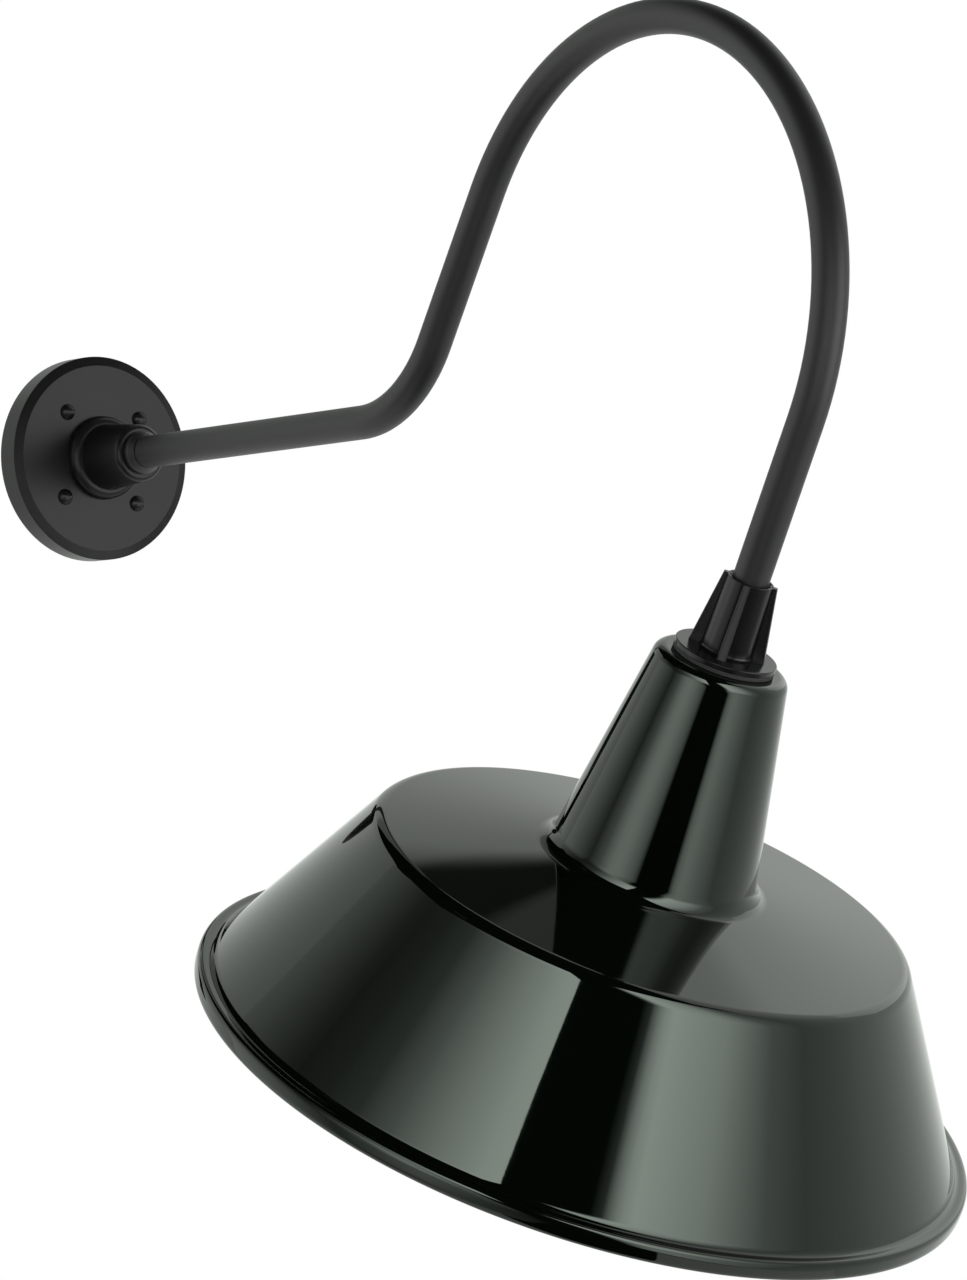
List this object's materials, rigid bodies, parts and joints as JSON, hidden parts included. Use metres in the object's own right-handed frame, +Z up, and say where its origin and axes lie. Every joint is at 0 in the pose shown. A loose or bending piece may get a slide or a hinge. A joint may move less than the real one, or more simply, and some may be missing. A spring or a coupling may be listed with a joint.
{
  "type": "barn light",
  "caption": "Wall-mounted gooseneck barn light: a round wall plate, a bent tube arm and a flared spun shade that throws the lamp's light down.",
  "frame": {"origin": "centre of the wall plate's back, in the plane of the wall", "axes": "+Y into the wall, so the arm reaches out along -Y; +Z up; X = 0 is the plane that the arm is bent in"},
  "size_m": [0.4205, 0.7051, 0.6569],
  "materials": {
    "black_paint": "satin black powder coat",
    "green_enamel": "high gloss dark green porcelain enamel",
    "black_rubber": "matt",
    "plated_steel": "zinc plated",
    "green_earth": "green plated",
    "black_plastic": "matt",
    "white_plastic": "matt",
    "glass_braid": "braided glass fibre",
    "porcelain": "white glaze",
    "brass": "bright",
    "solder": "dull solder",
    "black_glass": "opaque black glass",
    "lamp_cap_metal": "bright",
    "frosted_glass": "inside frosted",
    "clear_glass": "clear",
    "tungsten": "bare wire"
  },
  "bodies": {
    "wall": {"wall_plate": "black_paint", "arm_bush": "black_paint", "hub_set_screws": "plated_steel", "wall_gasket": "black_rubber", "plate_screws": "black_paint", "earth_post": "plated_steel", "earth_screw": "green_earth"},
    "arm": {"arm_tube": "black_paint", "tube_end_bushes": "black_plastic", "lead_sleeve": "glass_braid", "live_lead": "black_plastic", "neutral_lead": "white_plastic"},
    "head": {"fitter": "black_paint", "fitter_set_screws": "plated_steel", "shade_gasket": "black_rubber", "shade": "green_enamel", "shade_lock_ring": "plated_steel", "lampholder_body": "porcelain", "lampholder_shell": "brass", "lampholder_contact": "brass", "lampholder_screws": "plated_steel"},
    "lamp": {"lamp_tip": "solder", "lamp_insulator": "black_glass", "lamp_cap": "lamp_cap_metal", "lamp_bulb": "frosted_glass", "lamp_stem": "clear_glass", "lamp_filament": "tungsten"}
  },
  "joints": [
    {"name": "arm_turn", "type": "hinge", "parent": "wall", "child": "arm", "pos_m": [0, -0.042, 0], "axis": [0, 1, 0], "range_deg": [-90, 90]},
    {"name": "head_turn", "type": "hinge", "parent": "arm", "child": "head", "pos_m": [0, -0.62051, -0.10673], "axis": [0, 0.4617, -0.887], "range_deg": [-90, 90]},
    {"name": "lamp_withdraw", "type": "slide", "parent": "head", "child": "lamp", "axis": [0, 0.4617, -0.887], "range_m": [0, 0.225]}
  ]
}
